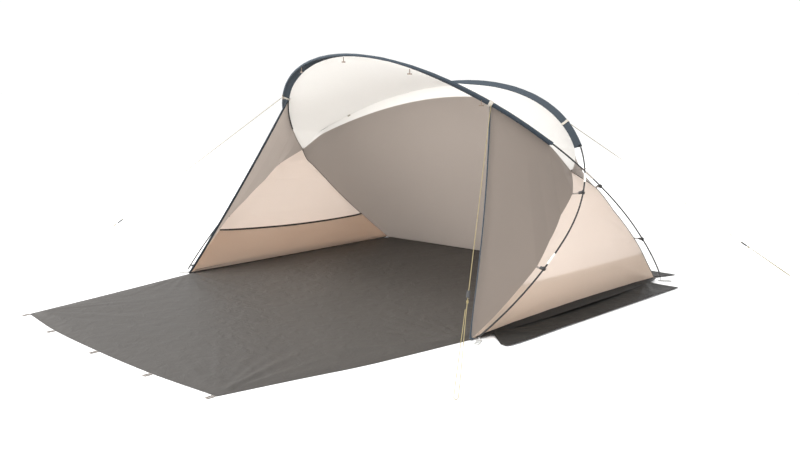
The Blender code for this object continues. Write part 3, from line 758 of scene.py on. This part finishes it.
def add_wing(name, side):
    upper = seam_between(FRONT_ARCH, side * FRONT_ARCH["crossing"], side * FRONT_ARCH["guy"])
    lower = seam_between(REAR_ARCH, side * REAR_ARCH["crossing"], side * 1.0)
    sag = np.array([-side * PANEL_SAG * 0.5, PANEL_SAG * 0.3, 0.0])
    grid = ruled_grid(upper, lower, rows=121, columns=61, start=0.002, sag=sag)
    inwards = unit(fabric_crossing(side) - (grid[-1, 0] + grid[-1, -1]) / 2)
    grid = hollow_edge(grid, inwards)
    grid[..., 2] = np.maximum(grid[..., 2], 0.004)
    foot = [grid[-1, -1]]
    peak = [grid[-1, 0]]
    lift = 0.003 * ripple(grid, scale=3.0, seed=6 + side)
    lift += creases(grid, foot, grid[30, 10], 0.35, length=0.9, width=0.018, height=0.0014, count=5, seed=7)
    lift += creases(grid, peak, grid[40, 50], 0.5, length=0.5, width=0.016, height=0.0016, count=4, seed=8)
    wing = outward(sheet_object("wing_cloth_" + name, displaced(grid, lift * edge_fade(grid))))
    finish_piece(wing, GREY, "grey_fabric", "wing_" + name)
    add_edge_tape(name, grid, inwards)


def add_edge_tape(name, wing, inwards):
    """The slate tape folded round the wing's free edge."""
    edge = smooth_path(wing[-1, ::6], EDGE_STEPS)
    edge[:, 2] = np.maximum(edge[:, 2], 0.008)
    normal = grid_normals(wing)[-1, 30]
    profile = [(-0.002, 0.0), (0.0, 0.0022), (0.5, 0.0026), (1.0, 0.0016)]
    profile += [(a, -b) for a, b in profile[:0:-1]]
    points, uvs = [], []
    for k, (point, travelled) in enumerate(zip(edge, distances(edge))):
        tangent = unit(edge[min(k + 1, EDGE_STEPS - 1)] - edge[max(k - 1, 0)])
        into = unit(inwards - tangent * np.dot(inwards, tangent))
        taper = 0.55 + 0.45 * math.sin(math.pi * min(1.0, (k + 4) / 30) / 2)
        for a, b in profile:
            points.append(point + into * (a * EDGE_TAPE_WIDTH * taper) + normal * b)
            uvs.append(((a - 0.5) * EDGE_TAPE_WIDTH, travelled))
    tape = outward(make_object("edge_tape_" + name, points, tube_faces(EDGE_STEPS, len(profile)), uvs))
    finish_piece(tape, BINDING, "slate_tape", "edge_binding_" + name)


def pocket_share(across):
    """How far down the side wall the lined part begins, from the front seam to the rear one."""
    front = (POCKET_FRONT - REAR_ARCH["crossing"]) / (1 - REAR_ARCH["crossing"])
    rear = (POCKET_REAR - FRONT_ARCH["crossing"]) / (1 - FRONT_ARCH["crossing"])
    return front + (rear - front) * across + 0.012 * np.sin(np.pi * across)


def add_side(name, side):
    front = seam_between(REAR_ARCH, side * REAR_ARCH["crossing"], side * 1.0)
    rear = seam_between(FRONT_ARCH, side * FRONT_ARCH["crossing"], side * 1.0)
    sag = np.array([-side * PANEL_SAG, 0.0, 0.0])
    grid = ruled_grid(front, rear, rows=121, columns=101, start=0.002, sag=sag)
    grid[..., 2] = np.maximum(grid[..., 2], 0.006)
    feet = [grid[-1, 0], grid[-1, -1]]
    clips = [seam_point(arch, side * arch["clips"][1]) for arch in (REAR_ARCH, FRONT_ARCH)]
    peak = [grid[3, 50]]
    lift = 0.003 * ripple(grid, scale=2.8, seed=9 + side)
    lift += creases(grid, feet, grid[40, 50], 0.35, length=0.8, width=0.020, height=0.0035, count=5, seed=10)
    lift += creases(grid, clips, grid[70, 50], 0.4, length=0.45, width=0.016, height=0.003, count=3, seed=11)
    lift += creases(grid, peak, grid[100, 50], 0.3, length=0.6, width=0.014, height=0.003, count=4, seed=12)
    wall = outward(sheet_object("side_cloth_" + name, displaced(grid, lift * edge_fade(grid))))
    shares = np.linspace(0, 1, 121)[:, None]
    across = np.linspace(0, 1, 101)[None, :]
    # The lower wall takes the cream's second colour, painted shade of the pocket lining behind it.
    mark_double(wall, blend_in((shares - pocket_share(across)) / 0.008 + 0.5))
    finish_piece(wall, CREAM, "cream_fabric", "side_panel_" + name)
    add_pocket(name, side, front, rear)


def add_pocket(name, side, front, rear):
    """The lining sheet low on the wall, a little inside it, and the dark tape that binds its top edge."""
    rows, columns = 41, 101
    grid = np.zeros((rows, columns, 3))
    for j, across in enumerate(np.linspace(0, 1, columns)):
        top = pocket_share(across)
        for i, down in enumerate(np.linspace(0, 1, rows)):
            share = top + (0.995 - top) * down
            a = front(share)
            b = rear(share)
            edge = POCKET_EDGE / np.linalg.norm(b - a)
            sag = PANEL_SAG * math.sin(math.pi * across) * math.sin(math.pi * share)
            belly = POCKET_BELLY * math.sin(math.pi * across) ** 0.5 * (1 - down) ** 0.5
            grid[i, j] = a + (b - a) * (edge + (1 - 2 * edge) * across)
            grid[i, j, 0] -= side * (sag + POCKET_GAP + belly)
    grid[..., 2] = np.maximum(grid[..., 2], 0.007)
    ends = [grid[-1, -1], grid[0, -1]]
    lift = 0.003 * ripple(grid, scale=4.0, seed=13 + side)
    lift += creases(grid, ends, grid[20, 40], 0.35, length=0.7, width=0.018, height=0.003, count=4, seed=14)
    grid = displaced(grid, lift * edge_fade(grid))
    pocket = outward(sheet_object("pocket_cloth_" + name, grid))
    finish_piece(pocket, BEIGE, "beige_fabric", "side_pocket_" + name)
    top_edge = smooth_path(grid[0, ::5], 80)
    tape = outward(tube_object("pocket_tape_" + name, top_edge, POCKET_TAPE_RADIUS, sides=10))
    finish_piece(tape, DARK_TAPE, "dark_tape", "pocket_binding_" + name)


def add_piping(name, path, radius, material, slot):
    """A thin rounded strip along a seam."""
    finish_piece(outward(tube_object(name, path, radius, sides=8)), material, slot)


def add_seams():
    for name, side in SIDES:
        lower = [seam_point(FRONT_ARCH, side * p) for p in np.linspace(FRONT_ARCH["crossing"], 0.998, 60)]
        upper = np.linspace(FRONT_ARCH["guy"], FRONT_ARCH["crossing"], 40)
        upper = [seam_point(FRONT_ARCH, side * p) for p in upper]
        along = np.linspace(FRONT_Y + 0.004, REAR_Y - 0.004, 40)
        foot = [(side * (HALF_WIDTH - 0.001), y, 0.005) for y in along]
        add_piping("rear_seam_" + name, lower, REAR_SEAM_RADIUS, DARK_TAPE, "dark_tape")
        add_piping("wing_seam_" + name, upper, WING_SEAM_RADIUS, GREY, "grey_fabric")
        add_piping("floor_seam_" + name, foot, FLOOR_SEAM_RADIUS, DARK_TAPE, "dark_tape")
    back = [(x, REAR_Y, 0.005) for x in np.linspace(-0.985, 0.985, 50)]
    add_piping("floor_seam_back", back, FLOOR_SEAM_RADIUS, DARK_TAPE, "dark_tape")


# Floor, porch and sand flaps


def flat_path(points, count):
    """A smooth curve on the ground."""
    return smooth_path([(x, y, 0.0) for x, y in points], count)


def groundsheet_grid(columns=151, floor_rows=101, porch_rows=90):
    """Rows from the back of the floor to the fold, and on to the porch's front edge."""
    across = np.linspace(0, 1, columns)[:, None]
    rows = []
    for share in np.linspace(1, 0, floor_rows):
        half = HALF_WIDTH - 0.004 + (REAR_HALF_WIDTH - HALF_WIDTH) * share
        y = FRONT_Y + (REAR_Y - 0.003 - FRONT_Y) * share
        rows.append(np.array([-half, y, 0.0]) + across * np.array([2 * half, 0.0, 0.0]))
    fold = rows[-1]
    front = flat_path(PORCH_FRONT, columns)
    left = flat_path(PORCH_LEFT, porch_rows + 1)
    right = flat_path(PORCH_RIGHT, porch_rows + 1)
    for k in range(1, porch_rows + 1):
        share = k / porch_rows
        sides = (1 - across) * left[k] + across * right[k]
        ends = (1 - share) * fold + share * front
        near = (1 - across) * fold[0] + across * fold[-1]
        far = (1 - across) * front[0] + across * front[-1]
        rows.append(sides + ends - (1 - share) * near - share * far)
    return np.array(rows)


def add_groundsheet():
    """The floor and the porch flap are one cloth, which bends at the fold."""
    grid = groundsheet_grid()
    tips = [grid[-1, 0], grid[-1, -1]]
    folds = [grid[101, 0], grid[101, -1]]
    lift = 0.0035 * (1 + ripple(grid, scale=2.4, seed=20))
    lift += 0.0014 * (1 + ripple(grid, scale=9.0, seed=21))
    lift += creases(grid, folds, grid[150, 75], 0.6, length=0.8, width=0.016, height=0.005, count=8, seed=23)
    lift += creases(grid, folds, grid[60, 75], 0.6, length=0.7, width=0.016, height=0.004, count=6, seed=24)
    fans = creases(grid, tips, grid[110, 75], 0.55, length=0.9, width=0.022, height=0.005, count=9, seed=22)
    lift = lift * edge_fade(grid, 0.03) + fans * edge_fade(grid, 0.04)
    grid[..., 2] = LYING_HEIGHT + np.abs(lift)
    cloth = outward(sheet_object("groundsheet_cloth", grid, GROUNDSHEET_THICKNESS))
    cloth.data.materials.append(SHEET)
    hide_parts("groundsheet", "porch_flap")
    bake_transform(cloth)


def strip_between(inner, outer, columns):
    """A grid from one path to another."""
    across = np.linspace(0, 1, columns)[None, :, None]
    return inner[:, None] + (outer - inner)[:, None] * across


def add_sand_flap(name, side):
    near, far = FLAP_FRONTS[name]
    inner = flat_path([near, (1.006, -0.300), (1.006, 0.200), (1.006, 0.690)], 81)
    outer = flat_path([far, (1.182, far[1] + 0.045), (1.185, -0.300), (1.192, 0.500), (1.196, 0.702)], 81)
    grid = strip_between(inner, outer, 25)
    ends = [grid[0, 0], grid[-1, 0]]
    across = np.linspace(0, 1, 25)[None, :]
    fans = creases(grid, ends, grid[40, 20], 0.5, length=0.5, width=0.015, height=0.008, count=5, seed=31)
    lift = 0.004 * (1 + ripple(grid, scale=6.0, seed=30 + side)) + fans * edge_fade(grid, 0.1)
    lift += 0.008 * np.exp(-(((across - 0.05) / 0.18) ** 2))
    grid[..., 2] = LYING_HEIGHT + np.abs(lift)
    grid[..., 0] *= side
    flap = outward(sheet_object("sand_flap_cloth_" + name, grid))
    finish_piece(flap, FLAP, "floor_sheet", "sand_flap_" + name)


def add_rear_flap():
    near = flat_path([(-0.975, REAR_Y + 0.010), (0.0, REAR_Y + 0.010), (0.975, REAR_Y + 0.010)], 91)
    far = flat_path([(-1.035, 0.990), (0.0, 0.978), (1.035, 0.990)], 91)
    grid = strip_between(near, far, 15)
    lift = 0.004 * (1 + ripple(grid, scale=6.0, seed=35)) + 0.006 * np.linspace(1, 0, 15)[None, :] ** 3
    grid[..., 2] = LYING_HEIGHT + np.abs(lift)
    flap = outward(sheet_object("sand_flap_cloth_rear", grid))
    finish_piece(flap, FLAP, "floor_sheet", "sand_flap_rear")


def add_upstand(name, side):
    """The strip between the wall's hem and the sand flap, coloured near black as painted shadow."""
    grid = np.zeros((81, 9, 3))
    for i, share in enumerate(np.linspace(0, 1, 81)):
        bulge = math.sin(math.pi * share)
        y = FRONT_Y + 0.04 + (REAR_Y - FRONT_Y - 0.07) * share
        for j, t in enumerate(np.linspace(0, 1, 9)):
            width = 0.012 + 0.058 * bulge**0.6
            grid[i, j] = (side * (0.9985 + width * t), y, 0.016 + 0.012 * bulge - 0.010 * t)
    grid[..., 2] += 0.002 * ripple(grid, scale=9.0, seed=41 + side)
    strip = outward(sheet_object("upstand_" + name, grid))
    finish_piece(strip, SHADOWED_STRIP_BLACK, "dark_tape")


# Frame


def add_pole(arch):
    name = arch["name"] + "_pole"
    path = [arch_point(arch, p) for p in np.linspace(-POLE_END, POLE_END, 241)]
    finish_piece(outward(tube_object(name + "_rod", path, POLE_RADIUS, sides=14)), ROD, "pole", name)
    radii = [0.0044] + [FERRULE_RADIUS] * 12 + [0.0044]
    for label, side in SIDES:
        for number, (start, end) in enumerate(arch["ferrules"], 1):
            sleeve = [arch_point(arch, side * p) for p in np.linspace(start, end, len(radii))]
            name = f"ferrule_{arch['name']}_{label}_{number}"
            piece = outward(tube_object(name, sleeve, FERRULE_RADIUS, 16, radii))
            finish_piece(piece, FERRULE if arch is REAR_ARCH else GREY_FERRULE, "steel")


def channel_points(arch, place, outline, flatten):
    """Points round a pole: the channel's outer wall, then its inner one.

    An outline's first value runs inwards from the pole's middle, to the seam, and its second across the pole.
    """
    tangent = arch_tangent(arch, place)
    inwards = seam_side(arch, place)
    inwards = unit(inwards - tangent * np.dot(inwards, tangent))
    across = np.cross(tangent, inwards)
    lining = [(a * 0.9 if a < 0.01 else a - 0.001, b * flatten) for a, b in outline]
    return [arch_point(arch, place) + a * inwards + b * across for a, b in outline + lining]


def channel_faces(rings, sides):
    """Faces of a channel with an outer and an inner wall, open at both ends."""
    faces = []
    ring = 2 * sides
    last = (rings - 1) * ring
    for i in range(sides):
        j = (i + 1) % sides
        for near in range(0, last, ring):
            far = near + ring
            faces.append((near + i, near + j, far + j, far + i))
            faces.append((near + sides + j, near + sides + i, far + sides + i, far + sides + j))
        faces.append((j, i, sides + i, sides + j))
        faces.append((last + i, last + j, last + sides + j, last + sides + i))
    return faces


def add_sleeve(arch):
    """The fabric channel, gathered a little along its length, open at both ends."""
    end = arch["sleeve_end"]
    places = np.linspace(-end, end, 261)
    turns = np.linspace(math.radians(48), math.radians(312), 10)
    points, uvs = [], []
    for place, travelled in zip(places, distances(np.array([arch_point(arch, p) for p in places]))):
        pucker = noise.noise(Vector((travelled * 21, 3.0, arch["lean"])))
        flutter = noise.noise(Vector((travelled * 9, 7.0, arch["lean"])))
        near_end = max(0.0, 1 - (end - abs(place)) / 0.02)
        radius = SLEEVE_RADIUS + 0.0009 * pucker + 0.0016 * near_end
        tail = arch["sleeve_tail"] + 0.0012 * flutter
        puff = 0.0024 + 0.0010 * pucker
        outline = [(radius * math.cos(turn), radius * math.sin(turn)) for turn in turns]
        outline += [(0.014, -puff), (tail, -0.0008), (tail, 0.0008), (0.014, puff)]
        points += channel_points(arch, place, outline, 0.82)
        uvs += [(i * 0.006, travelled) for i in range(2 * len(outline))]
    faces = channel_faces(len(places), len(outline))
    sleeve = outward(make_object(arch["name"] + "_sleeve_cloth", points, faces, uvs, smooth_angle=50))
    finish_piece(sleeve, SLEEVE, "slate_tape", arch["name"] + "_sleeve")


def strap_object(name, start, end, width, up):
    """A short flat tape between two points."""
    grid = []
    for share in np.linspace(0, 1, 9):
        point = start + (end - start) * share
        sag = -0.0015 * math.sin(math.pi * share) * np.array([0.0, 0.0, 1.0])
        grid.append([point + sag + up * width * (j / 4 - 0.5) for j in range(5)])
    return outward(sheet_object(name, np.array(grid), STRAP_THICKNESS))


def add_clip_straps():
    for arch in (FRONT_ARCH, REAR_ARCH):
        for label, side in SIDES:
            for number, place in enumerate(arch["clips"], 1):
                pole = arch_point(arch, side * place)
                seam = seam_point(arch, side * place)
                way = unit(seam - pole)
                name = f"strap_{arch['name']}_{label}_{number}"
                along = arch_tangent(arch, side * place)
                strap = strap_object(name, pole + way * 0.010, seam + way * 0.003, CLIP_STRAP_WIDTH, along)
                finish_piece(strap, STRAP, "grey_webbing")


def add_crossing_straps():
    for label, side in SIDES:
        fabric = fabric_crossing(side)
        front, rear = [arch_point(arch, side * arch["crossing"]) for arch in (FRONT_ARCH, REAR_ARCH)]
        poles = (front + rear) / 2
        way = unit(poles - fabric)
        up = unit(arch_tangent(FRONT_ARCH, side * 0.6) + arch_tangent(REAR_ARCH, side * 0.55))
        up = unit(up - way * np.dot(up, way))
        start = fabric - way * 0.004
        end = poles - way * 0.010
        strap = strap_object("crossing_tape_" + label, start, end, CROSSING_STRAP_WIDTH, up)
        finish_piece(strap, STRAP, "grey_webbing", "crossing_strap_" + label)
        other = np.cross(way, up)
        turns = np.linspace(math.radians(20), math.radians(340), 22)
        ring = [poles - way * 0.0125 * math.cos(t) + other * 0.0085 * math.sin(t) for t in turns]
        loop = outward(tube_object("crossing_loop_" + label, ring, 0.0015, 8))
        finish_piece(loop, STRAP, "grey_webbing")


# Guy lines


def guy_route(end, arch, side):
    """The line from its loop at the sleeve to the ground, round the peg's loop and back up to its knot."""
    pole = arch_point(arch, side * arch["guy"])
    ground = np.array([*GUY_ENDS[end], GUY_RADIUS + 0.001])
    start = pole + GUY_START * unit(ground - pole)
    upwards = unit(start - ground)
    across = unit(np.cross(upwards, np.array([0.0, 0.0, 1.0])))
    length = np.linalg.norm(start - ground)
    knot = ground + upwards * length * LOOP_SHARE[arch["name"]]
    points = [start + (knot - start) * share for share in np.linspace(0, 1, 18)]
    turn = ground + upwards * LOOP_HALF_WIDTH
    for share in np.linspace(0, 1, 10)[1:]:
        points.append(knot + (turn - knot) * share + across * LOOP_HALF_WIDTH * blend_in(share))
    for angle in np.linspace(0, math.pi, 9)[1:]:
        points.append(turn + LOOP_HALF_WIDTH * (across * math.cos(angle) - upwards * math.sin(angle)))
    for share in np.linspace(0, 1, 10)[1:-1]:
        gap = LOOP_HALF_WIDTH + (2 * LOOP_NECK - LOOP_HALF_WIDTH) * blend_in(share)
        points.append(turn + (knot - turn) * share - across * gap)
    return np.array(points), knot, upwards, across


def add_guy_band(end, arch, side, start):
    """Pale tape sewn round the sleeve, with a small loop that the line is tied to."""
    chord = arch_point(arch, arch["guy"] + 0.5) - arch_point(arch, arch["guy"] - 0.5)
    half = BAND_WIDTH / 2 / np.linalg.norm(chord)
    turns = np.linspace(math.radians(44), math.radians(316), 12)
    outline = [(BAND_RADIUS * math.cos(t), BAND_RADIUS * math.sin(t)) for t in turns]
    outline += [(0.016, -0.0048), (0.041, -0.0026), (0.041, 0.0026), (0.016, 0.0048)]
    points, uvs = [], []
    for share in np.linspace(-1, 1, 5):
        points += channel_points(arch, side * (arch["guy"] + half * share), outline, 0.85)
        uvs += [(share / 2 * BAND_WIDTH, i * 0.006) for i in range(2 * len(outline))]
    band = outward(make_object("guy_band_" + end, points, channel_faces(5, len(outline)), uvs))
    finish_piece(band, PALE_TAPE, "grey_webbing")
    pole = arch_point(arch, side * arch["guy"])
    way = unit(start - pole)
    tangent = arch_tangent(arch, side * arch["guy"])
    middle = pole + way * 0.0135
    turns = np.linspace(0, 2 * math.pi, 25)[:-1]
    hoop = [middle + HOOP_RADIUS * (math.cos(t) * way + math.sin(t) * tangent) for t in turns]
    loop = outward(tube_object("guy_loop_" + end, hoop, HOOP_CORD_RADIUS, 8))
    finish_piece(loop, PALE_TAPE, "grey_webbing")


def line_object(name, points):
    """A guy line, kept as a curve with a round section."""
    curve = bpy.data.curves.new(name, "CURVE")
    curve.dimensions = "3D"
    curve.bevel_depth = GUY_RADIUS
    curve.bevel_resolution = 3
    curve.use_fill_caps = True
    spline = curve.splines.new("POLY")
    spline.points.add(len(points) - 1)
    for target, point in zip(spline.points, points):
        target.co = (*point, 1.0)
    line = bpy.data.objects.new(name, curve)
    bpy.context.scene.collection.objects.link(line)
    return line


def knot_path(knot, upwards, across):
    """Five half turns round the line, just under the knot's place."""
    third = np.cross(upwards, across)
    path = []
    for t in np.linspace(0, 5 * math.pi, 40):
        down = -0.006 - 0.0012 * t / math.pi * 2
        path.append(knot + upwards * down + 0.0036 * (across * math.cos(t) + third * math.sin(t)))
    return path


def add_guy(end):
    arch = FRONT_ARCH if end.startswith("front") else REAR_ARCH
    side = 1 if end.endswith("right") else -1
    points, knot, upwards, across = guy_route(end, arch, side)
    line = line_object("guy_line_" + end, points)
    finish_piece(line, LINE, "guy_line", "guy_" + end)
    tie = outward(tube_object("guy_knot_" + end, knot_path(knot, upwards, across), KNOT_CORD_RADIUS, 8))
    finish_piece(tie, LINE, "guy_line")
    add_guy_band(end, arch, side, points[0])


def dress_cad_nodes():
    """Materials for the CAD pieces that stay as they are."""
    looks = {
        "clip_": PLASTIC,
        "runner_": PLASTIC,
        "toggle_": TOGGLE,
        "porch_loop_": STRAP,
        "foot_webbing_": WEBBING,
        "foot_pin_": STEEL,
    }
    for name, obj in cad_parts.items():
        for start, material in looks.items():
            if name.startswith(start):
                obj.material_slots[0].material = material


# Stage


def add_stage():
    corners = [(-40, -40, -0.001), (40, -40, -0.001), (40, 40, -0.001), (-40, 40, -0.001)]
    floor = make_object("studio_floor", corners, [(0, 1, 2, 3)])
    material, tree = new_material("studio_floor")
    paint = principled(tree, {"Base Color": (0.97, 0.97, 0.97, 1.0), "Roughness": 0.9})
    floor.data.materials.append(surfaced(material, tree, paint))


def add_light(name, place, aim, size, power):
    lamp = bpy.data.lights.new(name, "AREA")
    lamp.shape = "RECTANGLE"
    lamp.size, lamp.size_y = size
    lamp.energy = power
    obj = bpy.data.objects.new(name, lamp)
    obj.location = place
    obj.rotation_mode = "QUATERNION"
    obj.rotation_quaternion = (Vector(aim) - Vector(place)).to_track_quat("-Z", "Y")
    bpy.context.scene.collection.objects.link(obj)


def add_lights():
    world = bpy.data.worlds.new("studio")
    world.use_nodes = True
    world.node_tree.nodes["Background"].inputs["Color"].default_value = (1.0, 1.0, 1.0, 1.0)
    world.node_tree.nodes["Background"].inputs["Strength"].default_value = 1.04
    bpy.context.scene.world = world
    add_light("front", (-2.5, -11.0, 3.5), (0, 0.4, 0.5), (7.0, 4.5), 1150.0)
    add_light("fill", (5.0, -5.5, 1.6), (-0.8, 0.0, 0.5), (3.0, 2.0), 40.0)
    add_light("back", (0.5, 7.0, 1.8), (0.0, 0.6, 0.5), (5.0, 2.5), 260.0)
    add_light("left", (-6.2, -2.6, 3.2), (-0.8, 0.0, 0.5), (3.5, 2.5), 260.0)
    add_light("top", (-1.5, -1.5, 6.0), (0, 0, 0.4), (4.0, 4.0), 220.0)
    bpy.context.scene.view_settings.view_transform = "Standard"


def add_camera():
    camera = bpy.data.objects.new("camera", bpy.data.cameras.new("camera"))
    camera.data.lens = LENS
    camera.data.sensor_width = 36.0
    camera.location = CAMERA_PLACE
    level = math.cos(CAMERA_ELEVATION)
    sideways = math.sin(CAMERA_AZIMUTH) * level
    forwards = -math.cos(CAMERA_AZIMUTH) * level
    back = Vector((sideways, forwards, math.sin(CAMERA_ELEVATION)))
    camera.rotation_mode = "QUATERNION"
    camera.rotation_quaternion = (-back).to_track_quat("-Z", "Y")
    bpy.context.scene.collection.objects.link(camera)
    bpy.context.scene.camera = camera


add_camera()
for guy in GUY_ENDS:
    add_guy(guy)
add_roof()
add_back()
for label, way in SIDES:
    add_wing(label, way)
    add_side(label, way)
    add_sand_flap(label, way)
    add_upstand(label, way)
add_groundsheet()
add_rear_flap()
add_seams()
for arch in (FRONT_ARCH, REAR_ARCH):
    add_pole(arch)
    add_sleeve(arch)
add_clip_straps()
add_crossing_straps()
dress_cad_nodes()
add_stage()
add_lights()
